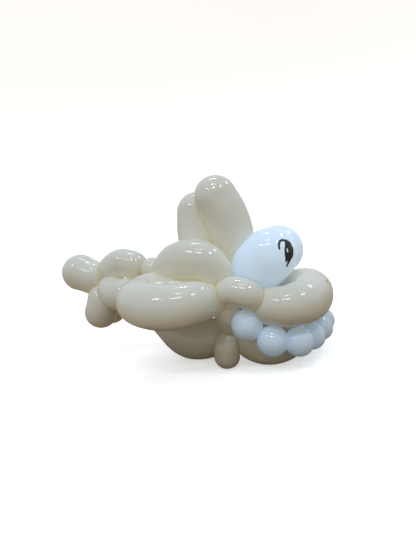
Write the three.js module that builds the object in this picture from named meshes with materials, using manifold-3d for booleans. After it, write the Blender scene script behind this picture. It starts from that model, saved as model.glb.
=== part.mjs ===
import * as THREE from 'three';
import { mergeVertices } from 'three/addons/utils/BufferGeometryUtils.js';
import Module from 'manifold-3d';

// A shark twisted from five long balloons, in millimetres.
// +Z is up, the snout points along +X and the origin is on the floor
// under the middle of the shark.

// Overall length, from the tail lobe to the snout
const sharkLength = 327;

// A share of that length, in per cent: the bubbles' thickness and places
// keep the shark's proportions at any length
const share = (percent) => (percent * sharkLength) / 100;

// Radii of the inflated bubbles
const snoutRadius = share(6.57);
const jawRadius = share(6.12);
const cheekRadius = share(4.22);
const gillRadius = share(4.07);
const backRadius = share(6.06);
const pectoralRadius = share(6.64);
const dorsalFrontRadius = share(6.8);
const dorsalRearRadius = share(6.6);
const bellyRadius = share(7.5);
const tailUpperRadius = share(6.21);
const tailLowerRadius = share(6.24);
const tailBeadRadius = share(4.13);
const upperLobeRadius = share(7.43);
const lowerLobeRadius = share(6.0);
const eyeRadius = share(7.95);
const cornerToothRadius = share(4.65);
const frontToothRadius = share(3.94);

// The dorsal fin is one long bubble folded double at its top, where
// the two limbs stay open to each other through a neck of this radius
const foldNeckRadius = share(2.45);

// Radius of the twisted knot between two bubbles
const knotRadius = share(1.59);

// A long bubble thins toward a twist, to this share of its radius
const twistTaper = 0.85;

// How many times less than the others the eyes, the cheeks and the
// upper tail give way where bubbles press together
const firm = 3;

// Facets: the spacing of a bubble's rings, and the sides of the rings
// of a large, a middling and a small bubble
const ringSpacing = share(3.82);
const largeSides = 14;
const middleSides = 12;
const smallSides = 10;

// Clearance left where two bubbles press together, and where a knot
// dents another balloon: more than the facets stray from the round
const contactGap = 0.08 * ringSpacing;
const dentGap = 1.8 * contactGap;

// Spacing of the points that stand for a bubble when others press on it
const spineSpacing = share(0.92);

// A point of the pose, in per cent of the shark's length
const at = (x, y, z) => new THREE.Vector3(share(x), share(y), share(z));

// The same point on the far side of the shark
const mirror = (point) => new THREE.Vector3(point.x, -point.y, point.z);

// Twists where bubbles meet
const cheekTwist = at(18.7, -11.3, 21.9);
const mouthTwist = at(28.6, -10.4, 20.3);
const gillTwist = at(19.8, -6.0, 10.9);
const shoulderTwist = at(17.8, -11.0, 25.1);
const waistTwist = at(-8.0, 0, 22.6);
const throatTwist = at(16.9, -1.8, 9.8);
const tailRootTwist = at(-10.7, 0, 18.7);
const tailTwist = at(-30.0, 0, 27.8);
const beadTwist = at(-13.8, 1.6, 30.8);
const dorsalRearTwist = at(-6.9, 0.6, 29.4);
const dorsalFrontTwist = at(20.4, 0, 26.6);
const eyeTwist = at(25.7, 0, 25.0);
const toothEndTwist = at(29.3, -12.5, 18.0);

// The same bubble on the far side
function mirrorBubble({ start, path, end, ...rest }) {
  return { start: start && mirror(start), path: path.map(mirror), end: end && mirror(end), ...rest };
}

// Head balloon: cheek, upper gill and hanging gill on each side
const headSide = [
  {
    start: cheekTwist,
    path: [at(23.5, -15.0, 25.3), at(28.8, -15.6, 24.0)],
    end: mouthTwist,
    radius: cheekRadius,
    firmness: firm,
    sides: middleSides,
  },
  { start: cheekTwist, path: [at(20.0, -9.8, 15.8)], end: gillTwist, radius: gillRadius, sides: smallSides },
  { start: gillTwist, path: [at(18.3, -9.8, 6.4), at(17.9, -10.1, 3.7)], radius: gillRadius, sides: smallSides },
];
const snoutLoop = {
  start: mouthTwist,
  path: [
    at(33.6, -11.6, 19.7), at(38.6, -11.9, 19.4), at(42.2, -9.2, 19.6), at(43.6, -2.0, 19.5),
    at(42.4, 6.0, 20.0), at(39.4, 10.2, 20.3), at(34.0, 12.0, 20.2),
  ],
  end: mirror(mouthTwist),
  radius: snoutRadius,
  taper: twistTaper,
  sides: largeSides,
};
const jawLoop = {
  start: gillTwist,
  path: [at(26.2, -5.8, 6.0), at(31.0, -5.6, 5.6), at(34.4, 0, 5.6), at(31.0, 5.6, 5.6), at(26.2, 5.8, 6.0)],
  end: mirror(gillTwist),
  radius: jawRadius,
  taper: twistTaper,
  sides: middleSides,
};

// Back balloon: the arched back and the pectoral fin on each side
const backSide = [
  {
    start: shoulderTwist,
    path: [
      at(18.3, -12.2, 30.7), at(16.4, -12.8, 33.8), at(13.3, -12.8, 35.1), at(9.4, -12.2, 35.1),
      at(4.8, -10.4, 33.8), at(1.0, -7.6, 31.0),
    ],
    end: waistTwist,
    radius: backRadius,
    taper: twistTaper,
    sides: middleSides,
  },
  {
    start: shoulderTwist,
    path: [
      at(15.5, -16.4, 23.2), at(14.3, -21.8, 23.8), at(9.0, -24.5, 23.5), at(2.8, -24.5, 23.7),
      at(-5.6, -19.0, 24.2), at(-6.2, -12.8, 24.8), at(1.6, -11.0, 25.8), at(8.7, -9.5, 25.5),
    ],
    end: shoulderTwist,
    radius: pectoralRadius,
    taper: twistTaper,
    sides: largeSides,
  },
];

// Body balloon: belly, tail and dorsal fin
const dorsalRearTop = at(8.6, 2.6, 48.8);
const dorsalFrontTop = at(17.4, -1.8, 52.6);
const bodyBubbles = [
  {
    start: throatTwist,
    path: [at(9.8, -2.7, 7.0), at(2.6, -2.2, 7.0), at(-4.7, -1.2, 12.0)],
    end: tailRootTwist,
    radius: bellyRadius,
    taper: twistTaper,
    sides: middleSides,
  },
  {
    start: tailRootTwist,
    path: [at(-14.4, -2.4, 21.9), at(-19.0, -4.3, 23.6), at(-24.0, -4.0, 24.0)],
    end: tailTwist,
    radius: tailLowerRadius,
    taper: twistTaper,
    sides: middleSides,
  },
  {
    start: tailTwist,
    path: [at(-36.8, 0, 30.3), at(-41.1, 0, 32.1)],
    radius: upperLobeRadius,
    taper: twistTaper,
    sides: middleSides,
  },
  { start: tailTwist, path: [at(-32.2, -1.8, 19.2), at(-33.4, -1.8, 17.0)], radius: lowerLobeRadius, sides: smallSides },
  { start: tailTwist, path: [at(-32.6, 5.6, 19.4), at(-34.4, 5.8, 16.4)], radius: lowerLobeRadius, sides: smallSides },
  {
    start: tailTwist,
    path: [at(-26.6, 0.6, 32.7), at(-22.8, 1.0, 34.2), at(-18.6, 1.4, 33.0)],
    end: beadTwist,
    radius: tailUpperRadius,
    taper: twistTaper,
    firmness: firm,
    sides: middleSides,
  },
  { start: beadTwist, path: [at(-10.6, 0.6, 31.3)], end: dorsalRearTwist, radius: tailBeadRadius, sides: smallSides },
  {
    start: dorsalRearTwist,
    path: [at(-1.0, 0.6, 29.9), at(4.8, 0.2, 32.2), at(8.7, -0.1, 37.6), at(8.5, 1.2, 43.6), dorsalRearTop],
    radius: dorsalRearRadius,
    taper: twistTaper,
    sides: middleSides,
  },
  {
    start: dorsalFrontTwist,
    path: [at(21.9, -0.3, 32.1), at(21.4, -0.9, 40.0), at(20.0, -1.5, 46.8), dorsalFrontTop],
    radius: dorsalFrontRadius,
    taper: twistTaper,
    sides: largeSides,
  },
];
const foldNeck = { path: [dorsalRearTop, dorsalFrontTop], radius: foldNeckRadius, sides: smallSides };

// Eyes: one white balloon twisted in two
const eye = { start: eyeTwist, radius: eyeRadius, firmness: firm, sides: largeSides };
const eyeBubbles = [
  { ...eye, path: [at(30.6, -7.0, 30.9), at(34.3, -8.0, 33.9)] },
  { ...eye, path: [at(30.2, 6.7, 30.8), at(33.2, 7.6, 33.4)] },
];

// Teeth: one white balloon twisted into a row of beads, smaller at the front
const toothPlaces = [
  at(26.8, -13.8, 14.7), at(34.1, -13.1, 9.4), at(40.8, -9.8, 8.2), at(43.2, -3.4, 7.7), at(44.9, 4.0, 8.1),
  at(44.6, 10.7, 8.6), at(39.8, 15.4, 9.3), at(33.2, 15.2, 10.2), at(26.8, 13.8, 14.7),
];
const toothTwists = toothPlaces.slice(1).map((place, index) => place.clone().lerp(toothPlaces[index], 0.5));
const toothRow = [toothEndTwist, ...toothTwists, mirror(toothEndTwist)];
const toothBubbles = toothPlaces.map((place, index) => {
  const towardFront = Math.sin((Math.PI * index) / (toothPlaces.length - 1)) ** 2;
  return {
    start: toothRow[index],
    path: [place],
    end: toothRow[index + 1],
    radius: cornerToothRadius + (frontToothRadius - cornerToothRadius) * towardFront,
    sides: smallSides,
  };
});

const beigeLatex = new THREE.MeshStandardMaterial({ color: 0xd8d1bb, roughness: 0.22, metalness: 0 });
const whiteLatex = new THREE.MeshStandardMaterial({ color: 0xeef0f6, roughness: 0.2, metalness: 0 });
const balloons = [
  {
    name: 'head_balloon',
    material: beigeLatex,
    shapes: [...headSide, ...headSide.map(mirrorBubble), snoutLoop, jawLoop],
  },
  { name: 'back_and_fins_balloon', material: beigeLatex, shapes: [...backSide, ...backSide.map(mirrorBubble)] },
  { name: 'body_and_tail_balloon', material: beigeLatex, shapes: bodyBubbles, necks: [foldNeck] },
  { name: 'eyes_balloon', material: whiteLatex, shapes: eyeBubbles },
  { name: 'teeth_balloon', material: whiteLatex, shapes: toothBubbles },
];

// A bubble is a round tube of air along a path. It ends at a twist,
// or in a plain dome where start or end is left out.
function makeBubble({ start, path, end, radius, taper = 1, firmness = 1, sides }) {
  const curve = new THREE.CatmullRomCurve3([start, ...path, end].filter(Boolean), false, 'centripetal');
  const length = curve.getLength();
  const first = start ? radius * taper : 0;
  const last = end ? length - radius * taper : length;
  const bell = (distance) => Math.exp(-((distance / radius) ** 2));
  const sampleAt = (distance) => {
    const along = THREE.MathUtils.clamp(distance / length, 0, 1);
    let size = radius;
    if (start) size -= radius * (1 - taper) * bell(distance - first);
    if (end) size -= radius * (1 - taper) * bell(last - distance);
    return { distance, place: curve.getPointAt(along), tangent: curve.getTangentAt(along), size };
  };
  const samplesEvery = (spacing) => {
    if (last - first < 1) return [sampleAt((first + last) / 2)];
    const steps = Math.ceil((last - first) / spacing);
    return Array.from({ length: steps + 1 }, (_, step) => sampleAt(first + ((last - first) * step) / steps));
  };
  return { start, end, firmness, sides, spine: samplesEvery(spineSpacing), rings: samplesEvery(ringSpacing) };
}

// How far a point is from the free surface of a bubble
function distanceTo(bubble, point) {
  return Math.min(...bubble.spine.map(({ place, size }) => place.distanceTo(point) - size));
}

// How far the surface goes from a ring's centre along one direction: to
// the free radius, to the floor, or to the face shared with what presses on
// it, which lies nearer the softer of the two
function findReach(bubble, ring, direction, neighbours) {
  const { firmness, spine } = bubble;
  const toFloor = direction.z < 0 ? -ring.place.z / direction.z : Infinity;
  const free = Math.min(ring.size, toFloor);
  const isBlocked = (reach) => {
    const point = ring.place.clone().addScaledVector(direction, reach);
    const past = (reach - ring.size) * firmness;
    const isHeld = (other) => {
      const clearance = (contactGap * (firmness + other.firmness)) / 2;
      return past + clearance > distanceTo(other, point) * other.firmness;
    };
    if (neighbours.some(isHeld)) return true;
    return spine.some(({ distance, place }) => {
      const apart = Math.abs(distance - ring.distance);
      const gap = contactGap * Math.min(1, (apart / (2 * ring.size)) ** 2);
      return apart > spineSpacing && place.distanceTo(point) < reach + gap;
    });
  };
  if (!isBlocked(free)) return free;
  let clear = 0;
  let blocked = free;
  for (let halving = 0; halving < 12; halving += 1) {
    const middle = (clear + blocked) / 2;
    if (isBlocked(middle)) blocked = middle;
    else clear = middle;
  }
  return clear;
}

// The closed surface of a bubble among its neighbours: circles of points
// round the path, and between two poles at its ends
function skinBubble(bubble, others) {
  const { start, end, rings, sides } = bubble;
  const first = rings[0];
  const last = rings[rings.length - 1];
  const firstPole = start ? start.clone().sub(first.place).normalize() : first.tangent.clone().negate();
  const lastPole = end ? end.clone().sub(last.place).normalize() : last.tangent.clone();
  const positions = [];
  const circles = [];
  const addPoint = (ring, direction) => {
    const around = ring.size + bubble.firmness * contactGap;
    const near = others.filter((other) => distanceTo(other, ring.place) < around);
    const reach = findReach(bubble, ring, direction, near);
    positions.push(...ring.place.clone().addScaledVector(direction, reach));
    return positions.length / 3 - 1;
  };
  const side = new THREE.Vector3(0, 0, 1);
  if (Math.abs(first.tangent.z) > 0.9) side.set(1, 0, 0);
  const addCircle = (ring, pole, lean) => {
    const across = new THREE.Vector3().crossVectors(ring.tangent, side);
    const circle = [];
    for (let turn = 0; turn < sides; turn += 1) {
      const angle = (2 * Math.PI * (turn + 0.5)) / sides;
      const outward = side.clone().multiplyScalar(Math.cos(angle)).addScaledVector(across, Math.sin(angle));
      const direction = outward.multiplyScalar(Math.sin(lean)).addScaledVector(pole, Math.cos(lean));
      circle.push(addPoint(ring, direction.normalize()));
    }
    circles.push(circle);
  };
  const square = Math.PI / 2;
  const endRings = sides > smallSides ? 3 : 2;
  const startPoint = addPoint(first, firstPole);
  for (const ring of rings) {
    side.addScaledVector(ring.tangent, -side.dot(ring.tangent)).normalize();
    if (ring === first) {
      for (let step = 1; step <= endRings; step += 1) addCircle(ring, firstPole, (square * step) / (endRings + 1));
    }
    addCircle(ring, ring.tangent, square);
    if (ring === last) {
      for (let step = endRings; step >= 1; step -= 1) addCircle(ring, lastPole, (square * step) / (endRings + 1));
    }
  }
  const endPoint = addPoint(last, lastPole);
  const triangles = [];
  for (let turn = 0; turn < sides; turn += 1) {
    const next = (turn + 1) % sides;
    triangles.push(startPoint, circles[0][next], circles[0][turn]);
    for (let row = 0; row + 1 < circles.length; row += 1) {
      const [low, high] = [circles[row], circles[row + 1]];
      triangles.push(low[turn], low[next], high[next], low[turn], high[next], high[turn]);
    }
    triangles.push(endPoint, circles.at(-1)[turn], circles.at(-1)[next]);
  }
  return toSolid(positions, triangles);
}

const wasm = await Module();
wasm.setup();

function toSolid(positions, triangles) {
  return new wasm.Manifold(new wasm.Mesh({
    numProp: 3,
    vertProperties: new Float32Array(positions),
    triVerts: new Uint32Array(triangles),
  }));
}

function makeKnot(place, radius) {
  const ball = new THREE.OctahedronGeometry(radius, 0).translate(...place);
  ball.deleteAttribute('normal');
  ball.deleteAttribute('uv');
  const merged = mergeVertices(ball);
  return toSolid(merged.attributes.position.array, merged.index.array);
}

// The twists that a balloon's bubbles end at, each once
function listTwists(bubbles) {
  const twists = [];
  for (const point of bubbles.flatMap(({ start, end }) => [start, end])) {
    if (point && !twists.some((twist) => twist.distanceTo(point) < knotRadius)) twists.push(point);
  }
  return twists;
}

for (const balloon of balloons) {
  balloon.bubbles = balloon.shapes.map(makeBubble);
  balloon.twists = listTwists(balloon.bubbles);
}
const allBubbles = balloons.flatMap(({ bubbles }) => bubbles);
const allTwists = balloons.flatMap(({ twists }) => twists);

// One balloon: its bubbles joined through their knots, and dented
// where a knot of another balloon presses on it
function makeBalloon({ bubbles, twists, necks = [] }) {
  const pieces = [
    ...bubbles.map((bubble) => skinBubble(bubble, allBubbles.filter((other) => other !== bubble))),
    ...necks.map((neck) => skinBubble(makeBubble(neck), [])),
  ];
  const knots = twists.map((twist) => makeKnot(twist, knotRadius));
  const dents = allTwists.filter((twist) => !twists.includes(twist)).map((twist) => makeKnot(twist, knotRadius + dentGap));
  const joined = pieces.reduce((whole, piece) => whole.add(piece));
  const dented = dents.reduce((whole, dent) => whole.subtract(dent), joined);
  const { vertProperties, triVerts } = knots.reduce((whole, knot) => whole.add(knot), dented).getMesh();
  const geometry = new THREE.BufferGeometry();
  geometry.setAttribute('position', new THREE.BufferAttribute(vertProperties, 3));
  geometry.setIndex(new THREE.BufferAttribute(triVerts, 1));
  return geometry;
}

const shark = new THREE.Group();
for (const balloon of balloons) {
  const mesh = new THREE.Mesh(makeBalloon(balloon), balloon.material);
  mesh.name = balloon.name;
  shark.add(mesh);
}

// Bring the middle of the shark over the origin
const middle = new THREE.Box3().setFromObject(shark).getCenter(new THREE.Vector3());
for (const mesh of shark.children) mesh.geometry.translate(-middle.x, -middle.y, 0);

export default shark;
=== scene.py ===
import math

import bpy
import numpy as np
from mathutils import Matrix, Vector
from mathutils.bvhtree import BVHTree


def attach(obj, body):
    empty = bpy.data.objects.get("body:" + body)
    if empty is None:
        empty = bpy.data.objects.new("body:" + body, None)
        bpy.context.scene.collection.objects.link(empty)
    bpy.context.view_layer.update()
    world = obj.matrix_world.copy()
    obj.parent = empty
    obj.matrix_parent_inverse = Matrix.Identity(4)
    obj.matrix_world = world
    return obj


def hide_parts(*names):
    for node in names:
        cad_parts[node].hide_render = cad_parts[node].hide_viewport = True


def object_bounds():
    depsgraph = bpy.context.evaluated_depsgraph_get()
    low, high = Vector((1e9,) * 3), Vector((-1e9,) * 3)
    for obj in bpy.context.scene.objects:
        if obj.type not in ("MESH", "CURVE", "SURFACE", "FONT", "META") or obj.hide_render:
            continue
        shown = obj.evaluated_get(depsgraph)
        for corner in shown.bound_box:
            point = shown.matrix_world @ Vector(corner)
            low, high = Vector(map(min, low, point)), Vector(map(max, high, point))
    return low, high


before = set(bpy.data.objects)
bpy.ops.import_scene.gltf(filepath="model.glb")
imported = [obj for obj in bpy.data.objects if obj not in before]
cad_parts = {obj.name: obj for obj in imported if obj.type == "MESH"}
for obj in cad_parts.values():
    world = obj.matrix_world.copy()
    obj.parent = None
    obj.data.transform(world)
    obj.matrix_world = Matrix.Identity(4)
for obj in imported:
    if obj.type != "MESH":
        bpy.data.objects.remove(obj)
cadLow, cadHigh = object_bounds()
print("frame loaded, box", [round(v, 4) for v in (*cadLow, *cadHigh)])

# A shark twisted from five long balloons. Bubbles are worked out in
# millimetres in the pose's own frame, and become meshes in metres.
metre = 0.001
shark = {
    "length": 327.0,  # tail lobe to snout
    "contactGap": 0.2,  # left where two bubbles press together
    "contactRound": 1.2,  # how softly a bubble turns onto a contact face
    "foldRound": 1.5,  # the same where a bubble folds on itself
    "floorRound": 1.5,  # the same where it rests on the floor
    "knotRadius": 2.4,  # the twisted rope of latex between two bubbles
    "taper": 0.85,  # a long bubble thins to this share near a twist
    "firm": 3,  # how many times less the eyes, cheeks and upper tail give way
    "facet": 1.35,  # side of a mesh face
    "spineStep": 1.5,  # spacing of the points that stand for a bubble
}

# Twists where bubbles meet, in per cent of the length
twists = {
    "cheek": (18.7, -11.3, 21.9),
    "mouth": (28.6, -10.4, 20.3),
    "gill": (19.8, -6.0, 10.9),
    "shoulder": (17.8, -11.0, 25.1),
    "waist": (-8.0, 0, 22.6),
    "throat": (16.9, -1.8, 9.8),
    "tailRoot": (-10.7, 0, 18.7),
    "tail": (-30.0, 0, 27.8),
    "bead": (-13.8, 1.6, 30.8),
    "dorsalRear": (-6.9, 0.6, 29.4),
    "dorsalFront": (20.4, 0, 26.6),
    "eye": (25.7, 0, 25.0),
    "toothEnd": (29.3, -12.5, 18.0),
}


def at(point):
    return np.array(point, float) * shark["length"] / 100


def farSide(point):  # the same point across the middle plane
    return np.array(point, float) * [1, -1, 1]


def bubble(radius, path, start=None, end=None, taper=1.0, firmness=1, pleats=11):
    start, end = (at(twists[name]) if isinstance(name, str) else name for name in (start, end))
    return {"radius": radius, "path": [at(p) for p in path], "start": start, "end": end,
            "taper": taper, "firmness": firmness, "pleats": pleats}


def onFarSide(shape):
    mirrored = dict(shape, path=[farSide(p) for p in shape["path"]])
    for end in ("start", "end"):
        if shape[end] is not None:
            mirrored[end] = farSide(shape[end])
    return mirrored


# The curve through a bubble's points: a centripetal Catmull-Rom spline
def curveThrough(points, steps=60):
    points = np.array(points)
    padded = np.vstack([2 * points[0] - points[1], points, 2 * points[-1] - points[-2]])
    stretches = []
    for p0, p1, p2, p3 in zip(padded, padded[1:], padded[2:], padded[3:]):
        d0, d1, d2 = (np.sqrt(np.linalg.norm(b - a)) for a, b in ((p0, p1), (p1, p2), (p2, p3)))
        out = ((p1 - p0) / d0 - (p2 - p0) / (d0 + d1) + (p2 - p1) / d1) * d1
        into = ((p2 - p1) / d1 - (p3 - p1) / (d1 + d2) + (p3 - p2) / d2) * d1
        t = np.linspace(0, 1, steps, endpoint=False)[:, None]
        bend = (3 * (p2 - p1) - 2 * out - into) * t**2 + (2 * (p1 - p2) + out + into) * t**3
        stretches.append(p1 + out * t + bend)
    return np.vstack([*stretches, points[-1:]])


# Stations along a bubble: place, direction, distance from the start and
# the free radius there
def stations(shape, spacing):
    start, end, radius, taper = (shape[k] for k in ("start", "end", "radius", "taper"))
    points = [p for p in (start, *shape["path"], end) if p is not None]
    line = curveThrough(points)
    along = np.concatenate([[0], np.cumsum(np.linalg.norm(np.diff(line, axis=0), axis=1))])
    length = along[-1]
    first = 0 if start is None else radius * taper
    last = length if end is None else length - radius * taper
    if last - first < 1:
        first = last = (first + last) / 2
    count = max(1, math.ceil((last - first) / spacing) + 1)
    distance = np.linspace(first, last, count)
    place = np.stack([np.interp(distance, along, line[:, k]) for k in range(3)], 1)
    near = 0.5  # millimetres each way over which the direction is taken
    ahead, behind = (np.stack([np.interp(np.clip(distance + s, 0, length), along, line[:, k])
                               for k in range(3)], 1) for s in (near, -near))
    tangent = ahead - behind
    tangent /= np.linalg.norm(tangent, axis=1)[:, None]
    size = np.full(count, float(radius))
    if start is not None:
        size -= radius * (1 - taper) * np.exp(-(((distance - first) / radius) ** 2))
    if end is not None:
        size -= radius * (1 - taper) * np.exp(-(((last - distance) / radius) ** 2))
    return {"place": place, "tangent": tangent, "distance": distance, "size": size}


def spineOf(shape):  # the points that stand for a bubble when others press on it
    return dict(stations(shape, shark["spineStep"]), firmness=shape["firmness"])


def smoothMax(a, b, width):
    blend = np.clip(width - np.abs(a - b), 0, None)
    return np.maximum(a, b) + blend**2 / (4 * np.maximum(width, 1e-9))


def lengthsBetween(points, places):
    squares = (points**2).sum(1)[:, None] + (places**2).sum(1) - 2 * points @ places.T
    return np.sqrt(np.maximum(squares, 0))


# How far past its surface a point of a bubble would be: past the free
# radius, into a neighbour, into its own fold, or under the floor
def excess(reach, ring, direction, spine, neighbours):
    point = ring["place"] + direction * reach[:, None]
    own = reach - ring["size"]
    total = own
    for other in neighbours:
        room = (lengthsBetween(point, other["place"]) - other["size"]).min(1)
        part = spine["firmness"] / (spine["firmness"] + other["firmness"])
        pressed = own * part - room * (1 - part) + shark["contactGap"] / 2
        total = smoothMax(total, pressed, shark["contactRound"])
    apart = np.abs(ring["distance"][:, None] - spine["distance"])
    share = np.minimum(1, (apart / (2 * ring["size"][:, None])) ** 2)
    fold = (reach[:, None] - lengthsBetween(point, spine["place"]) + shark["contactGap"] * share) / 2
    fold = np.where(apart > 2 * shark["spineStep"], fold, own[:, None] - shark["foldRound"])
    total = np.maximum(total, smoothMax(own[:, None], fold, shark["foldRound"] * share).max(1))
    return smoothMax(total, -point[:, 2], shark["floorRound"])


def findReach(ring, direction, spine, neighbours, halvings=22):
    reach = ring["size"].copy()
    held = excess(reach, ring, direction, spine, neighbours) > 0
    if held.any():
        part = {key: value[held] for key, value in ring.items()}
        ways = direction[held]
        low, high = np.zeros(held.sum()), reach[held]
        for _ in range(halvings):
            middle = (low + high) / 2
            over = excess(middle, part, ways, spine, neighbours) > 0
            low, high = np.where(over, low, middle), np.where(over, middle, high)
        reach[held] = low
    return reach


pleatLook = {
    "depth": 0.55,  # of a pleat beside a twist
    "spread": 24.0,  # degrees from the twist at which pleats fade
    "centre": 6.0,  # degrees from the twist within which they merge
    "swirl": 1.4,  # turns with the twist
    "tip": 10.0,  # degrees over which the skin is drawn into the twist
    "into": 0.8,  # millimetres that the drawn skin goes past the twist
    "fullFrom": 20.0,  # bubble radius from which pleats have their full depth
    "phaseStep": 2.4,  # radians between the pleats of one bubble and the next
    "thickWithin": 11.0,  # millimetres from a twist in which the latex is thick
}


# The latex near a twist is gathered in pleats and drawn into the knot
def gather(reach, direction, angle, centre, pole, twist, shape, phase):
    lean = np.degrees(np.arccos(np.clip(direction @ pole, -1, 1)))
    fade = np.exp(-((lean / pleatLook["spread"]) ** 2)) * (1 - np.exp(-((lean / pleatLook["centre"]) ** 2)))
    turned = angle + np.radians(lean) * pleatLook["swirl"]
    wave = 0.5 + 0.5 * np.cos(shape["pleats"] * turned + phase)
    short = np.linalg.norm(twist - centre) - reach[np.argmin(lean)]
    tip = (short + pleatLook["into"]) * np.exp(-((lean / pleatLook["tip"]) ** 2))
    depth = pleatLook["depth"] * min(1.0, shape["radius"] / pleatLook["fullFrom"])
    return reach - depth * fade * wave + tip


# The closed skin of a bubble: circles of points round its stations, and
# between two poles at its ends
def skin(shape, others, knots, phase):
    radius = shape["radius"]
    spine = spineOf(shape)
    rings = stations(shape, shark["facet"])
    sides = int(2 * math.pi * radius / shark["facet"]) // 2 * 2
    domeSteps = max(6, int(math.pi / 2 * radius / shark["facet"]))
    poles = []
    for end, index, sign in ((shape["start"], 0, -1), (shape["end"], -1, 1)):
        pole = sign * rings["tangent"][index] if end is None else end - rings["place"][index]
        poles.append(pole / np.linalg.norm(pole))
    side = np.array([0.0, 0.0, 1.0]) if abs(rings["tangent"][0][2]) < 0.9 else np.array([1.0, 0.0, 0.0])
    angle = 2 * math.pi * np.arange(sides) / sides
    leans = (np.arange(domeSteps) + 1) / (domeSteps + 1) * math.pi / 2
    circles = []  # the station of each circle and the directions of its points
    for index, tangent in enumerate(rings["tangent"]):
        side = side - tangent * (side @ tangent)
        side /= np.linalg.norm(side)
        across = np.cross(tangent, side)
        outward = np.cos(angle)[:, None] * side + np.sin(angle)[:, None] * across
        dome = lambda pole, lean: outward * math.sin(lean) + pole * math.cos(lean)
        if index == 0:
            circles += [(index, dome(poles[0], lean)) for lean in leans]
        circles.append((index, outward))
        if index == len(rings["tangent"]) - 1:
            circles += [(index, dome(poles[1], lean)) for lean in leans[::-1]]
    which = np.concatenate([[0], np.repeat([c[0] for c in circles], sides), [len(rings["size"]) - 1]])
    direction = np.vstack([poles[0], *[c[1] for c in circles], poles[1]])
    direction /= np.linalg.norm(direction, axis=1)[:, None]
    ring = {key: value[which] for key, value in rings.items()}
    neighbours = [other for other in others if lengthsBetween(spine["place"], other["place"]).min()
                  < radius + other["size"].max() + shark["contactRound"]] + knots
    reach = findReach(ring, direction, spine, neighbours)
    turn = np.concatenate([[0], np.tile(angle, len(circles)), [0]])
    for end, index, pole in ((shape["start"], 0, poles[0]), (shape["end"], -1, poles[1])):
        if end is not None:
            near = which == which[index]
            centre = rings["place"][index]
            reach[near] = gather(reach[near], direction[near], turn[near], centre, pole, end, shape, phase)
    points = ring["place"] + direction * reach[:, None]
    rows = np.arange(len(circles) * sides).reshape(-1, sides) + 1
    after = np.roll(rows, -1, axis=1)
    quads = np.stack([rows[:-1], after[:-1], after[1:], rows[1:]], -1).reshape(-1, 4)
    caps = [(0, b, a) for a, b in zip(rows[0], after[0])]
    caps += [(len(points) - 1, a, b) for a, b in zip(rows[-1], after[-1])]
    return points, quads.tolist() + [tuple(map(int, cap)) for cap in caps]


knotLook = {
    "sides": 30,
    "rows": 16,
    "ridges": 5,
    "ridgeShare": 0.12,  # height of a ridge, of the radius
    "screw": 4,  # radians that the ridges turn for each radian from pole to pole
    "askew": (0.3, 0.5, 0.8),  # a direction that no knot lies along
}


# A knot: a short rope of latex, ridged like a screw
def knotSkin(place, axis, radius):
    sides, rows = knotLook["sides"], knotLook["rows"]
    axis = axis / np.linalg.norm(axis)
    side = np.cross(axis, knotLook["askew"])
    side /= np.linalg.norm(side)
    across = np.cross(axis, side)
    points = [place - axis * radius]
    for row in range(1, rows):
        lean = math.pi * row / rows
        angle = 2 * math.pi * np.arange(sides) / sides
        ridge = 1 + knotLook["ridgeShare"] * np.cos(knotLook["ridges"] * angle + knotLook["screw"] * lean)
        out = radius * math.sin(lean) * ridge[:, None]
        points.append(place - axis * radius * math.cos(lean)
                      + out * (np.cos(angle)[:, None] * side + np.sin(angle)[:, None] * across))
    points.append(place + axis * radius)
    points = np.vstack(points)
    circles = np.arange((rows - 1) * sides).reshape(-1, sides) + 1
    after = np.roll(circles, -1, axis=1)
    faces = np.stack([circles[:-1], after[:-1], after[1:], circles[1:]], -1).reshape(-1, 4).tolist()
    faces += [(0, int(b), int(a)) for a, b in zip(circles[0], after[0])]
    faces += [(len(points) - 1, int(a), int(b)) for a, b in zip(circles[-1], after[-1])]
    return points, faces


def meshObject(name, points, faces):
    mesh = bpy.data.meshes.new(name)
    mesh.from_pydata([tuple(p) for p in points], [], faces)
    mesh.validate()
    thing = bpy.data.objects.new(name, mesh)
    bpy.context.scene.collection.objects.link(thing)
    return thing


def fuse(parts):
    whole = parts[0]
    for part in parts[1:]:
        join = whole.modifiers.new("join", "BOOLEAN")
        join.operation = "UNION"
        join.solver = "MANIFOLD"
        join.object = part
        bpy.context.view_layer.objects.active = whole
        bpy.ops.object.modifier_apply(modifier=join.name)
        bpy.data.objects.remove(part)
    return whole


# Head balloon: cheek, upper gill and hanging gill on each side, the snout
# loop and the lower jaw loop
headBubbles = {
    "cheek": bubble(13.8, [(23.5, -15.0, 25.3), (28.8, -15.6, 24.0)], "cheek", "mouth",
                    firmness=shark["firm"]),
    "upperGill": bubble(13.3, [(20.0, -9.8, 15.8)], "cheek", "gill"),
    "hangingGill": bubble(13.3, [(18.3, -9.8, 6.4), (17.9, -10.1, 3.7)], "gill"),
}
headLoops = {
    "snout": bubble(21.5, [(33.6, -11.6, 19.7), (38.6, -11.9, 19.4), (42.2, -9.2, 19.6), (43.6, -2.0, 19.5),
                           (42.4, 6.0, 20.0), (39.4, 10.2, 20.3), (34.0, 12.0, 20.2)],
                    "mouth", farSide(at(twists["mouth"])), shark["taper"]),
    "jaw": bubble(20, [(26.2, -5.8, 6.0), (31.0, -5.6, 5.6), (34.4, 0, 5.6), (31.0, 5.6, 5.6),
                       (26.2, 5.8, 6.0)],
                  "gill", farSide(at(twists["gill"])), shark["taper"]),
}

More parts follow.
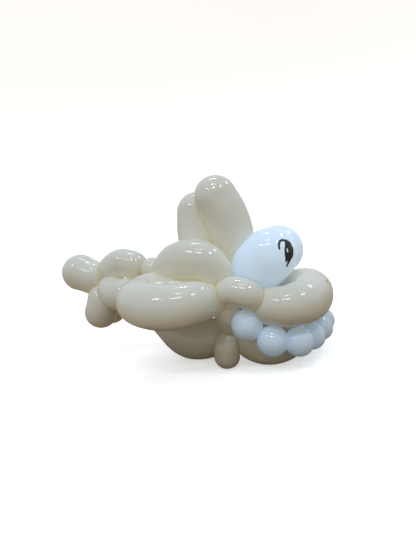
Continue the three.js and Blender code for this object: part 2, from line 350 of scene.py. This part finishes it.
# Back balloon: the arched back and the pectoral fin on each side
backBubbles = {
    "back": bubble(19.8, [(18.3, -12.2, 30.7), (16.4, -12.8, 33.8), (13.3, -12.8, 35.1), (9.4, -12.2, 35.1),
                          (4.8, -10.4, 33.8), (1.0, -7.6, 31.0)], "shoulder", "waist", shark["taper"]),
    "pectoral": bubble(21.7, [(15.5, -16.4, 23.2), (14.3, -21.8, 23.8), (9.0, -24.5, 23.5),
                              (2.8, -24.5, 23.7), (-5.6, -19.0, 24.2), (-6.2, -12.8, 24.8),
                              (1.6, -11.0, 25.8), (8.7, -9.5, 25.5)],
                       "shoulder", "shoulder", shark["taper"]),
}

# Body balloon: belly, tail and dorsal fin. The fin is one long bubble
# folded double at its top, where a neck joins its limbs.
finTops = {"rear": (8.6, 2.6, 48.8), "front": (17.4, -1.8, 52.6)}
bodyBubbles = {
    "belly": bubble(24.5, [(9.8, -2.7, 7.0), (2.6, -2.2, 7.0), (-4.7, -1.2, 12.0)], "throat", "tailRoot",
                    shark["taper"]),
    "lowerTail": bubble(20.4, [(-14.4, -2.4, 21.9), (-19.0, -4.3, 23.6), (-24.0, -4.0, 24.0)], "tailRoot",
                        "tail", shark["taper"]),
    "upperLobe": bubble(24.3, [(-36.8, 0, 30.3), (-41.1, 0, 32.1)], "tail", None, shark["taper"]),
    "lowerLobeNear": bubble(19.6, [(-32.2, -1.8, 19.2), (-33.4, -1.8, 17.0)], "tail"),
    "lowerLobeFar": bubble(19.6, [(-32.6, 5.6, 19.4), (-34.4, 5.8, 16.4)], "tail"),
    "upperTail": bubble(20.3, [(-26.6, 0.6, 32.7), (-22.8, 1.0, 34.2), (-18.6, 1.4, 33.0)], "tail", "bead",
                        shark["taper"], shark["firm"]),
    "tailBead": bubble(13.5, [(-10.6, 0.6, 31.3)], "bead", "dorsalRear"),
    "finRear": bubble(21.6, [(-1.0, 0.6, 29.9), (4.8, 0.2, 32.2), (8.7, -0.1, 37.6), (8.5, 1.2, 43.6),
                             finTops["rear"]], "dorsalRear", None, shark["taper"]),
    "finFront": bubble(22.2, [(21.9, -0.3, 32.1), (21.4, -0.9, 40.0), (20.0, -1.5, 46.8), finTops["front"]],
                       "dorsalFront", None, shark["taper"]),
}
finNeck = bubble(8, [finTops["rear"], finTops["front"]])

# Eyes: one white balloon twisted in two
eyeBubbles = {
    "near": bubble(26, [(30.6, -7.0, 30.9), (34.3, -8.0, 33.9)], "eye", firmness=shark["firm"]),
    "far": bubble(26, [(30.2, 6.7, 30.8), (33.2, 7.6, 33.4)], "eye", firmness=shark["firm"]),
}

# Teeth: one white balloon twisted into a row of beads, smaller in front
teeth = {
    "cornerRadius": 15.2,
    "frontRadius": 12.9,
    "places": [(26.8, -13.8, 14.7), (34.1, -13.1, 9.4), (40.8, -9.8, 8.2), (43.2, -3.4, 7.7),
               (44.9, 4.0, 8.1), (44.6, 10.7, 8.6), (39.8, 15.4, 9.3), (33.2, 15.2, 10.2),
               (26.8, 13.8, 14.7)],
}


def toothBubbles():
    places = teeth["places"]
    middles = [(at(a) + at(b)) / 2 for a, b in zip(places, places[1:])]
    end = at(twists["toothEnd"])
    ends = [end, *middles, farSide(end)]
    row = []
    for index, place in enumerate(places):
        towardFront = math.sin(math.pi * index / (len(places) - 1)) ** 2
        radius = teeth["cornerRadius"] + (teeth["frontRadius"] - teeth["cornerRadius"]) * towardFront
        row.append(bubble(radius, [place], ends[index], ends[index + 1], pleats=9))
    return row


balloons = {
    "head_balloon": [*headBubbles.values(), *map(onFarSide, headBubbles.values()), *headLoops.values()],
    "back_and_fins_balloon": [*backBubbles.values(), *map(onFarSide, backBubbles.values())],
    "body_and_tail_balloon": [*bodyBubbles.values()],
    "eyes_balloon": [*eyeBubbles.values()],
    "teeth_balloon": toothBubbles(),
}


def twistsOf(shapes):  # each point once, with the way its rope runs
    found = []
    for shape in shapes:
        ends = ((shape["start"], shape["path"][0]), (shape["end"], shape["path"][-1]))
        for twist, inner in ends:
            if twist is not None and not any(np.linalg.norm(twist - old) < 1 for old, _ in found):
                found.append((twist, twist - inner))
    return found


# How thick the latex is at each point: 1 at a twist, where it is hardly
# stretched, and 0 in the middle of a bubble
def markGathered(mesh, twistPlaces):
    points = np.empty(len(mesh.vertices) * 3)
    mesh.vertices.foreach_get("co", points)
    away = lengthsBetween(points.reshape(-1, 3), np.array(twistPlaces)).min(1)
    mark = mesh.attributes.new("gathered", "FLOAT", "POINT")
    mark.data.foreach_set("value", np.exp(-((away / pleatLook["thickWithin"]) ** 2)).astype(np.float32))


def makeBalloon(name, shapes):
    others = {key: [spineOf(s) for s in group] for key, group in balloons.items()}
    foreign = [twist for key, group in balloons.items() if key != name for twist, _ in twistsOf(group)]
    knots = [{"place": twist[None], "size": np.array([shark["knotRadius"]]), "firmness": shark["firm"]}
             for twist in foreign]
    parts = []
    for index, shape in enumerate(shapes):
        rest = [s for key, group in others.items() for i, s in enumerate(group) if (key, i) != (name, index)]
        parts.append(meshObject(name + "Part", *skin(shape, rest, knots, pleatLook["phaseStep"] * index)))
    for twist, way in twistsOf(shapes):
        parts.append(meshObject(name + "Knot", *knotSkin(twist, way, shark["knotRadius"])))
    if name == "body_and_tail_balloon":
        parts.append(meshObject("finNeck", *skin(finNeck, [], [], 0)))
    whole = fuse(parts)
    whole.name = whole.data.name = name.replace("_balloon", "_skin")
    whole.data.polygons.foreach_set("use_smooth", [True] * len(whole.data.polygons))
    markGathered(whole.data, [twist for twist, _ in twistsOf(shapes)])
    return whole


skins = {name: makeBalloon(name, shapes) for name, shapes in balloons.items()}
for name, thing in skins.items():
    print(name, len(thing.data.polygons), "faces")

# Out of the pose's frame: metres, with the middle over the origin
low = np.min([np.array(thing.bound_box).min(0) for thing in skins.values()], 0)
high = np.max([np.array(thing.bound_box).max(0) for thing in skins.values()], 0)
middle = (low + high) / 2
print("middle of the pose", middle.round(2), "size", (high - low).round(2))
toFrame = Matrix.Translation(((cadLow.x + cadHigh.x) / 2, 0, 0)) @ Matrix.Scale(metre, 4) \
    @ Matrix.Translation((-middle[0], -middle[1], 0))
for thing in skins.values():
    thing.data.transform(toFrame)
    thing.data.update()

# The camera of the photograph, which holds the snout a little higher
# than the floor does
view = {
    "turn": 22.0,
    "height": 12.0,
    "snoutUp": 8.0,
    "distance": 455.0,
    "aim": (34.5, 0.0, 88.5),
    "focal": 419.0,  # in pixels of the frame
    "frame": (416, 555),
    "sensor": 36.0,
}
turn, height = math.radians(view["turn"]), math.radians(view["height"])
back = Vector((math.sin(turn) * math.cos(height), -math.cos(turn) * math.cos(height), math.sin(height)))
right = Vector((math.cos(turn), math.sin(turn), 0))
axes = Matrix((right, back.cross(right), back)).transposed()
tilt = Matrix.Rotation(math.radians(view["snoutUp"]), 3, "Y")
towardCamera = tilt @ back
cameraPlace = toFrame @ (tilt @ (back * view["distance"]) + Vector(view["aim"]))
cameraData = bpy.data.cameras.new("photoCamera")
cameraData.sensor_width = view["sensor"]
cameraData.lens = view["focal"] * view["sensor"] / max(view["frame"])
cameraData.clip_start = 0.01
camera = bpy.data.objects.new("photoCamera", cameraData)
camera.matrix_world = Matrix.Translation(cameraPlace) @ (tilt @ axes).to_4x4()
bpy.context.scene.collection.objects.link(camera)
bpy.context.scene.camera = camera
print("camera set")


# A node group with its own inputs and outputs
def makeGroup(name, inputs, outputs):
    group = bpy.data.node_groups.new(name, "ShaderNodeTree")
    for label, kind, value in inputs:
        socket = group.interface.new_socket(label, in_out="INPUT", socket_type="NodeSocket" + kind)
        socket.default_value = value
    for label, kind in outputs:
        group.interface.new_socket(label, in_out="OUTPUT", socket_type="NodeSocket" + kind)
    return group


# Links a value to an input, or sets it
def feed(tree, socket, value):
    if isinstance(value, bpy.types.NodeSocket):
        tree.links.new(value, socket)
    else:
        socket.default_value = value


# Adds a node, sets its properties and feeds its inputs
def addNode(tree, kind, inputs=None, **properties):
    node = tree.nodes.new("ShaderNode" + kind)
    for key, value in properties.items():
        setattr(node, key, value)
    for key, value in (inputs or {}).items():
        feed(tree, node.inputs[key], value)
    return node


def placeGroup(tree, group, inputs):
    return addNode(tree, "Group", inputs, node_tree=group).outputs


def groupEnds(group):
    return group.nodes.new("NodeGroupInput").outputs, group.nodes.new("NodeGroupOutput").inputs


def calc(tree, operation, a, b=0.0, c=0.0):
    return addNode(tree, "Math", {0: a, 1: b, 2: c}, operation=operation).outputs[0]


def vectorCalc(tree, operation, a, b):
    second = "Scale" if operation == "SCALE" else 1
    result = "Value" if operation in ("DISTANCE", "DOT_PRODUCT") else "Vector"
    return addNode(tree, "VectorMath", {0: a, second: b}, operation=operation).outputs[result]


def clamp(tree, value):
    return addNode(tree, "Clamp", {"Value": value}).outputs[0]


def remap(tree, value, start, end, low=0.0, high=1.0, curve="LINEAR"):
    inputs = {"Value": value, "From Min": start, "From Max": end, "To Min": low, "To Max": high}
    return addNode(tree, "MapRange", inputs, interpolation_type=curve).outputs[0]


def noise(tree, place, scale, detail, distortion=0.0):
    inputs = {"Vector": place, "Scale": scale, "Detail": detail, "Distortion": distortion}
    return addNode(tree, "TexNoise", inputs).outputs[0]


def mixColor(tree, share, a, b, blend="MIX"):
    mix = addNode(tree, "Mix", {0: share}, data_type="RGBA", blend_type=blend)
    feed(tree, mix.inputs[6], a)
    feed(tree, mix.inputs[7], b)
    return mix.outputs[2]


latexDetail = {
    "cloudScale": 28,
    "smearScale": 95,
    "smearSwirl": 1.5,
    "grainScale": 900,
    "talcBetween": (0.48, 0.7),  # smear values between which the talc comes up
    "gatheredDull": 0.08,  # roughness added where the latex is gathered
    "grainShare": 0.15,  # of the ripples, and the rest is cloud
    "crinkleRagged": 240,
    "crinkleSolid": 0.35,  # share of a crinkled spot that is whole
    "crinkleSwirl": 1.2,
    "shadedBetween": (0.075, 0.015),  # heights between which the painted shade turns the lowest bubbles browner
    "litBetween": (0.045, 0.10),  # heights between which the glow painted into the folds grows to full strength
}


# Blown latex: clouded where it is stretched unevenly, denser where it is
# gathered, with a faint smear of talc that dulls the gloss
def makeLatexSkin():
    group = makeGroup("latexSkin", [
        ("Position", "Vector", (0, 0, 0)), ("Gathered", "Float", 0), ("Thin", "Color", (1, 1, 1, 1)),
        ("Dense", "Color", (1, 1, 1, 1)), ("Clouding", "Float", 0.3), ("Roughness", "Float", 0.2),
        ("Talc", "Float", 0.1)], [("Color", "Color"), ("Roughness", "Float"), ("Height", "Float")])
    given, result = groupEnds(group)
    place, gathered = given["Position"], given["Gathered"]
    cloud = noise(group, place, latexDetail["cloudScale"], 2)
    smear = noise(group, place, latexDetail["smearScale"], 4, latexDetail["smearSwirl"])
    grain = noise(group, place, latexDetail["grainScale"], 2)
    uneven = calc(group, "MULTIPLY", calc(group, "SUBTRACT", cloud, 0.5), given["Clouding"])
    density = clamp(group, calc(group, "ADD", gathered, uneven))
    talc = calc(group, "MULTIPLY", remap(group, smear, *latexDetail["talcBetween"]), given["Talc"])
    dulled = calc(group, "ADD", given["Roughness"], talc)
    softer = calc(group, "MULTIPLY", cloud, 1 - latexDetail["grainShare"])
    rougher = calc(group, "MULTIPLY_ADD", gathered, latexDetail["gatheredDull"], dulled)
    feed(group, result["Color"], mixColor(group, density, given["Thin"], given["Dense"]))
    feed(group, result["Roughness"], rougher)
    feed(group, result["Height"], calc(group, "MULTIPLY_ADD", grain, latexDetail["grainShare"], softer))
    return group


# A spot where the latex has crinkled: fine broken lines round a middle
def makeCrinkle():
    group = makeGroup("crinkle", [
        ("Position", "Vector", (0, 0, 0)), ("Middle", "Vector", (0, 0, 0)), ("Radius", "Float", 0.01),
        ("Spacing", "Float", 0.002), ("Width", "Float", 0.03)], [("Lines", "Float"), ("Spot", "Float")])
    given, result = groupEnds(group)
    place = given["Position"]
    share = calc(group, "DIVIDE", vectorCalc(group, "DISTANCE", place, given["Middle"]), given["Radius"])
    ragged = noise(group, place, latexDetail["crinkleRagged"], 2)
    edge = calc(group, "ADD", share, calc(group, "SUBTRACT", ragged, 0.5))
    spot = remap(group, edge, 1.0, latexDetail["crinkleSolid"], curve="SMOOTHSTEP")
    scale = calc(group, "DIVIDE", 1.0, given["Spacing"])
    pattern = noise(group, place, scale, 3, latexDetail["crinkleSwirl"])
    away = calc(group, "ABSOLUTE", calc(group, "SUBTRACT", pattern, 0.5))
    lines = calc(group, "SUBTRACT", 1.0, clamp(group, calc(group, "DIVIDE", away, given["Width"])))
    feed(group, result["Lines"], calc(group, "MULTIPLY", lines, spot))
    feed(group, result["Spot"], spot)
    return group


# Distance to a marker stroke between two points, thicker at one end
def makeInkStroke():
    group = makeGroup("inkStroke", [
        ("Position", "Vector", (0, 0, 0)), ("Start", "Vector", (0, 0, 0)), ("End", "Vector", (0, 0, 0)),
        ("Start Width", "Float", 0.001), ("End Width", "Float", 0.001)], [("Distance", "Float")])
    given, result = groupEnds(group)
    fromStart = vectorCalc(group, "SUBTRACT", given["Position"], given["Start"])
    stroke = vectorCalc(group, "SUBTRACT", given["End"], given["Start"])
    ahead = calc(group, "DIVIDE", vectorCalc(group, "DOT_PRODUCT", fromStart, stroke),
                 vectorCalc(group, "DOT_PRODUCT", stroke, stroke))
    along = clamp(group, ahead)
    away = vectorCalc(group, "DISTANCE", fromStart, vectorCalc(group, "SCALE", stroke, along))
    width = remap(group, along, 0.0, 1.0, given["Start Width"], given["End Width"])
    feed(group, result["Distance"], calc(group, "SUBTRACT", away, width))
    return group


latexSkin, crinkle, inkStroke = makeLatexSkin(), makeCrinkle(), makeInkStroke()


def material(name, color, roughness):
    made = bpy.data.materials.new(name)
    made.use_nodes = True
    shader = made.node_tree.nodes["Principled BSDF"]
    shader.inputs["Base Color"].default_value = (*color, 1)
    shader.inputs["Roughness"].default_value = roughness
    return made, shader


# Latex with painted light: the folds between bubbles are given a little painted glow,
# most in the upper ones, standing in for light that the latex passes
def makeLatex(name, look):
    made, shader = material(name, look["thin"], look["roughness"])
    tree = made.node_tree
    shader.inputs["Subsurface Weight"].default_value = look["softness"]
    shader.inputs["Subsurface Radius"].default_value = look["softColor"]
    shader.inputs["Subsurface Scale"].default_value = look["softDepth"]
    shader.inputs["Emission Strength"].default_value = 1.0
    place = addNode(tree, "TexCoord").outputs["Object"]
    level = addNode(tree, "SeparateXYZ", {0: place}).outputs["Z"]
    gathered = addNode(tree, "Attribute", attribute_name="gathered").outputs["Fac"]
    skinLook = placeGroup(tree, latexSkin, {
        "Position": place, "Gathered": gathered, "Thin": (*look["thin"], 1), "Dense": (*look["dense"], 1),
        "Clouding": look["clouding"], "Roughness": look["roughness"], "Talc": look["talc"]})
    color, roughness, height = skinLook["Color"], skinLook["Roughness"], skinLook["Height"]
    # Painted shade: the latex turns browner towards the bottom
    if "shaded" in look:
        low = remap(tree, level, *latexDetail["shadedBetween"], high=look["shadedShare"])
        color = mixColor(tree, low, color, (*look["shaded"], 1))
    for spot in look["crinkles"]:
        tint = (*spot["color"], 1)
        marks = placeGroup(tree, crinkle, {
            "Position": place, "Middle": spot["middle"], "Radius": spot["radius"],
            "Spacing": spot["spacing"], "Width": spot["width"]})
        # Darkens the crinkle lines: painted shade in the creases of the fin's wrinkles, the own dark of the
        # small mark on the snout
        color = mixColor(tree, calc(tree, "MULTIPLY", marks["Lines"], spot["dark"]), color, tint)
        color = mixColor(tree, calc(tree, "MULTIPLY", marks["Spot"], spot["tint"]), color, tint)
        roughness = calc(tree, "MULTIPLY_ADD", marks["Spot"], spot["dull"], roughness)
        height = calc(tree, "MULTIPLY_ADD", marks["Lines"], -spot["depth"], height)
    bump = addNode(tree, "Bump", {"Height": height, "Distance": look["ripple"], "Strength": 1.0})
    # Painted glow: emission where ambient occlusion finds folds, weaker low down
    openness = addNode(tree, "AmbientOcclusion", {"Distance": look["passedWithin"]}, samples=8).outputs["AO"]
    lit = remap(tree, level, *latexDetail["litBetween"])
    folds = mixColor(tree, lit, (*look["passedLow"], 1), (*look["passed"], 1))
    passed = mixColor(tree, openness, folds, (*look["through"], 1))
    feed(tree, shader.inputs["Base Color"], color)
    feed(tree, shader.inputs["Roughness"], roughness)
    feed(tree, shader.inputs["Normal"], bump.outputs["Normal"])
    feed(tree, shader.inputs["Emission Color"], mixColor(tree, 1.0, passed, color, "MULTIPLY"))
    return made, shader, place


# The point of a balloon that the camera sees at a pixel of the frame
def seenAt(pixel, node):
    width, tall = view["frame"]
    way = camera.matrix_world.to_3x3() @ Vector((pixel[0] - width / 2, tall / 2 - pixel[1], -view["focal"]))
    tree = BVHTree.FromObject(skins[node], bpy.context.evaluated_depsgraph_get())
    return tree.ray_cast(camera.matrix_world.translation, way.normalized())[0]


beigeLook = {
    "thin": (0.59, 0.595, 0.545),
    "dense": (0.50, 0.45, 0.33),
    "clouding": 0.5,
    "roughness": 0.09,
    "talc": 0.06,
    "softness": 0.3,
    "softColor": (1.0, 0.85, 0.62),
    "softDepth": 0.006,
    "passed": (0.30, 0.27, 0.19),  # painted glow in the folds between bubbles, for light passed by the upper bubbles
    "passedLow": (0.09, 0.075, 0.045),  # the same painted glow down at the table
    "through": (0, 0, 0),  # the same painted glow on open skin
    "passedWithin": 0.035,
    "shaded": (0.40, 0.33, 0.20),  # painted shade: the lowest bubbles drawn browner, as they lie in shade
    "shadedShare": 0.55,
    "ripple": 0.00025,
    "crinkles": [
        # the pectoral bend's wrinkles: dark lines of painted crease shade over bumped grooves
        {"at": (133, 279.5), "on": "back_and_fins_balloon", "radius": 0.016, "spacing": 0.006, "width": 0.035,
         "dark": 0.4, "tint": 0.05, "dull": 0.08, "depth": 0.5, "color": (0.33, 0.34, 0.34)},
        {"at": (329, 301), "on": "head_balloon", "radius": 0.020, "spacing": 0.008, "width": 0.015,
         "dark": 0.0, "tint": 0.22, "dull": 0.08, "depth": 0.0, "color": (0.30, 0.31, 0.30)},
        {"at": (327, 281.6), "on": "head_balloon", "radius": 0.0028, "spacing": 0.003, "width": 0.3,
         "dark": 0.7, "tint": 0.6, "dull": 0.1, "depth": 0.3, "color": (0.04, 0.04, 0.035)},
    ],
}
whiteLook = {
    "thin": (0.54, 0.64, 0.75),
    "dense": (0.52, 0.61, 0.71),
    "clouding": 0.4,
    "roughness": 0.09,
    "talc": 0.05,
    "softness": 0.3,
    "softColor": (0.85, 0.95, 1.0),
    "softDepth": 0.006,
    # painted glow: in the folds, the same low down, and a faint one on open skin
    "passed": (0.22, 0.25, 0.27),
    "passedLow": (0.22, 0.25, 0.27),
    "through": (0.06, 0.07, 0.08),
    "passedWithin": 0.035,
    "ripple": 0.0002,
    "crinkles": [],
}
for spot in beigeLook["crinkles"]:
    spot["middle"] = seenAt(spot["at"], spot["on"])
beige = makeLatex("beigeLatex", beigeLook)[0]
white = makeLatex("whiteLatex", whiteLook)[0]
print("latex made")

# Pupils drawn on the eyes with a black marker: strokes as points and half
# widths, in pixels of the photograph's frame
pupils = {
    "strokes": [
        [(286.2, 240.9, 1.5), (288.2, 244.4, 3.3), (289.1, 249.4, 4.6), (289.2, 254.2, 4.4),
         (288.0, 259.8, 2.7), (286.8, 266.4, 0.6)],
        [(286.0, 241.0, 1.2), (282.4, 239.9, 1.0), (279.8, 241.2, 1.1), (278.8, 244.4, 1.0),
         (279.4, 248.6, 0.9)],
    ],
    # Gaps left in the ink: the first pair a painted highlight, the glints on the pupil; the second a bare
    # streak where the marker thinned
    "glintsAndBare": [[(287.0, 248.8, 0.4), (287.6, 251.2, 0.7)], [(287.2, 261.0, 0.2), (286.4, 264.2, 0.5)]],
    "pixel": 0.00103,  # metres to a pixel at the eyes
    "reach": 0.008,  # how far round the eye the marker goes
    "ragged": 0.0006,
    "raggedScale": 1400,
    "soft": 0.00025,
    "color": (0.004, 0.004, 0.006),
    "roughness": 0.3,
}


def flatten(point):  # onto the plane that the pupils are drawn in
    return point - towardCamera * point.dot(towardCamera)


# Distance to a set of strokes
def strokesNode(tree, place, strokes):
    nearest = None
    for points in strokes:
        spots = [(flatten(seenAt(point[:2], "eyes_balloon")), point[2] * pupils["pixel"]) for point in points]
        for (start, startWidth), (end, endWidth) in zip(spots, spots[1:]):
            away = placeGroup(tree, inkStroke, {
                "Position": place, "Start": start, "End": end,
                "Start Width": startWidth, "End Width": endWidth})["Distance"]
            nearest = away if nearest is None else calc(tree, "MINIMUM", nearest, away)
    return nearest


# The eyes are blown larger, so they get more painted glow, in the folds and on open skin
eyeLook = dict(whiteLook, thin=(0.45, 0.54, 0.65), dense=(0.40, 0.49, 0.60), through=(0.50, 0.54, 0.55),
               passed=(0.34, 0.38, 0.40), passedLow=(0.34, 0.38, 0.40))


# The far pupil is the near one's mirror image. The marker stays on the
# side of each eye that it was drawn on.
def makeEyeLatex():
    made, shader, place = makeLatex("eyeLatex", eyeLook)
    tree = made.node_tree
    x, y, z = addNode(tree, "SeparateXYZ", {0: place}).outputs
    nearY = calc(tree, "MULTIPLY", calc(tree, "ABSOLUTE", y), -1.0)
    folded = addNode(tree, "CombineXYZ", {0: x, 1: nearY, 2: z}).outputs[0]
    depth = vectorCalc(tree, "DOT_PRODUCT", folded, towardCamera)
    lift = vectorCalc(tree, "SCALE", towardCamera, depth)
    flat = vectorCalc(tree, "SUBTRACT", folded, lift)
    shake = noise(tree, place, pupils["raggedScale"], 2)
    ragged = calc(tree, "MULTIPLY", calc(tree, "SUBTRACT", shake, 0.5), pupils["ragged"])
    # the un-inked gaps, one of them a painted highlight
    glintsAndBare = calc(tree, "MULTIPLY", strokesNode(tree, flat, pupils["glintsAndBare"]), -1.0)
    edge = calc(tree, "MAXIMUM", strokesNode(tree, flat, pupils["strokes"]), glintsAndBare)
    drawn = [seenAt(point[:2], "eyes_balloon").dot(towardCamera)
             for points in pupils["strokes"] for point in points]
    edge = calc(tree, "MAXIMUM", edge, calc(tree, "SUBTRACT", min(drawn) - pupils["reach"], depth))
    soft = pupils["soft"]
    ink = remap(tree, calc(tree, "ADD", edge, ragged), soft, -soft, curve="SMOOTHSTEP")
    for name, inked in (("Base Color", pupils["color"]), ("Emission Color", (0, 0, 0))):
        under = shader.inputs[name].links[0].from_socket
        feed(tree, shader.inputs[name], mixColor(tree, ink, under, (*inked, 1)))
    roughness = shader.inputs["Roughness"].links[0].from_socket
    duller = pupils["roughness"] - eyeLook["roughness"]
    feed(tree, shader.inputs["Roughness"], calc(tree, "MULTIPLY_ADD", ink, duller, roughness))
    return made


eyeWhite = makeEyeLatex()
print("pupils drawn")

finishes = {
    "head_balloon": (beige, "beige_latex"),
    "back_and_fins_balloon": (beige, "beige_latex"),
    "body_and_tail_balloon": (beige, "beige_latex"),
    "eyes_balloon": (eyeWhite, "white_latex"),
    "teeth_balloon": (white, "white_latex"),
}
for node, thing in skins.items():
    finish, slot = finishes[node]
    thing.data.materials.clear()
    thing.data.materials.append(finish)
    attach(thing, "root")
    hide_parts(node)

# Pale round floor that sweeps up all round into a backdrop
stage = {
    "inner": 0.275,
    "flat": 1.1,
    "bend": 0.9,
    "top": 3.5,
    "steps": 24,
    "sides": 96,
    "color": (0.86, 0.86, 0.86),
    "glow": 0.5,  # keeps the backdrop as pale as the floor
}


def makeStage():
    bend, sides = stage["bend"], stage["sides"]
    profile = [(stage["inner"], 0.0), (stage["flat"], 0.0)]
    for step in range(1, stage["steps"] + 1):
        angle = math.pi / 2 * step / stage["steps"]
        profile.append((stage["flat"] + bend * math.sin(angle), bend * (1 - math.cos(angle))))
    profile.append((stage["flat"] + bend, stage["top"]))
    ways = [2 * math.pi * k / sides for k in range(sides)]
    points = [(out * math.cos(way), out * math.sin(way), z) for out, z in profile for way in ways]
    faces = [tuple(range(sides))]
    for row in range(len(profile) - 1):
        for k in range(sides):
            a, b = row * sides + k, row * sides + (k + 1) % sides
            faces.append((a, a + sides, b + sides, b))
    floor = meshObject("floor", points, faces)
    floor.data.polygons.foreach_set("use_smooth", [True] * len(faces))
    paint, shader = material("palePaint", stage["color"], 0.9)
    shader.inputs["Emission Color"].default_value = (1, 1, 1, 1)
    shader.inputs["Emission Strength"].default_value = stage["glow"]
    floor.data.materials.append(paint)
    # Only the camera sees it, so that the room lights the shark from below
    floor.visible_diffuse = floor.visible_glossy = floor.visible_shadow = False


makeStage()

# A brown table top just below, seen only by the light that the shark's
# underside takes from it
tables = {
    "tableTop": {"from": (-0.55, -0.55), "to": (0.55, 0.55), "below": 0.004, "color": (0.44, 0.31, 0.17)},
    "tableShade": {"from": (-0.06, -0.09), "to": (0.18, 0.09), "below": 0.002, "color": (0.07, 0.05, 0.03)},
}


def makeTable(name, table):
    (x0, y0), (x1, y1), z = table["from"], table["to"], -table["below"]
    top = meshObject(name, [(x0, y0, z), (x1, y0, z), (x1, y1, z), (x0, y1, z)], [(0, 1, 2, 3)])
    top.data.materials.append(material(name, table["color"], 0.5)[0])
    top.visible_camera = False


for name, table in tables.items():
    makeTable(name, table)
print("stage set")

# A soft room: pale above, dim and warm below
room = {
    "strength": 0.97,
    "shades": {
        0.0: (0.32, 0.23, 0.12),
        0.45: (0.45, 0.36, 0.24),
        0.60: (0.76, 0.78, 0.77),
        1.0: (0.50, 0.57, 0.66),
    },
}


def makeRoom():
    world = bpy.data.worlds.new("softRoom")
    world.use_nodes = True
    nodes, links = world.node_tree.nodes, world.node_tree.links
    place = nodes.new("ShaderNodeTexCoord")
    split = nodes.new("ShaderNodeSeparateXYZ")
    level = nodes.new("ShaderNodeMapRange")
    level.inputs["From Min"].default_value = -1
    shades = nodes.new("ShaderNodeValToRGB")
    shades.color_ramp.interpolation = "EASE"
    while len(shades.color_ramp.elements) < len(room["shades"]):
        shades.color_ramp.elements.new(0.5)
    for stop, (position, color) in zip(shades.color_ramp.elements, sorted(room["shades"].items())):
        stop.position = position
        stop.color = (*color, 1)
    links.new(place.outputs["Generated"], split.inputs[0])
    links.new(split.outputs["Z"], level.inputs["Value"])
    links.new(level.outputs["Result"], shades.inputs["Fac"])
    links.new(shades.outputs["Color"], nodes["Background"].inputs["Color"])
    nodes["Background"].inputs["Strength"].default_value = room["strength"]
    bpy.context.scene.world = world


makeRoom()

# Ceiling lamps: the way to each from the shark, and how far it is
lamps = {
    "lampBehind": {"way": (-0.10, 0.28, 0.95), "away": 1.5, "size": (0.46, 0.08), "power": 2.2},
    "lampFarRight": {"way": (0.48, 0.52, 0.70), "away": 1.6, "size": (0.40, 0.09), "power": 2.2},
    "lampFront": {"way": (0.14, -0.62, 0.77), "away": 1.6, "size": (0.46, 0.09), "power": 2.8},
    "lampFrontLeft": {"way": (-0.30, -0.60, 0.74), "away": 1.6, "size": (0.40, 0.07), "power": 1.8},
    "lampOver": {"way": (0.10, -0.32, 0.94), "away": 1.6, "size": (0.44, 0.07), "power": 1.8},
    "lampRight": {"way": (0.60, -0.2, 0.77), "away": 1.6, "size": (0.32, 0.09), "power": 2.0},
}
lampColor = (0.93, 0.97, 1.0)
lampAim = Vector((0.02, 0, 0.09))
for name, lamp in lamps.items():
    data = bpy.data.lights.new(name, "AREA")
    data.shape = "RECTANGLE"
    data.size, data.size_y = lamp["size"]
    data.energy = lamp["power"]
    data.color = lampColor
    light = bpy.data.objects.new(name, data)
    way = Vector(lamp["way"]).normalized()
    light.location = lampAim + way * lamp["away"]
    light.rotation_euler = (-way).to_track_quat("-Z", "Y").to_euler()
    bpy.context.scene.collection.objects.link(light)
print("lamps lit")

bpy.context.scene.view_settings.view_transform = "Standard"
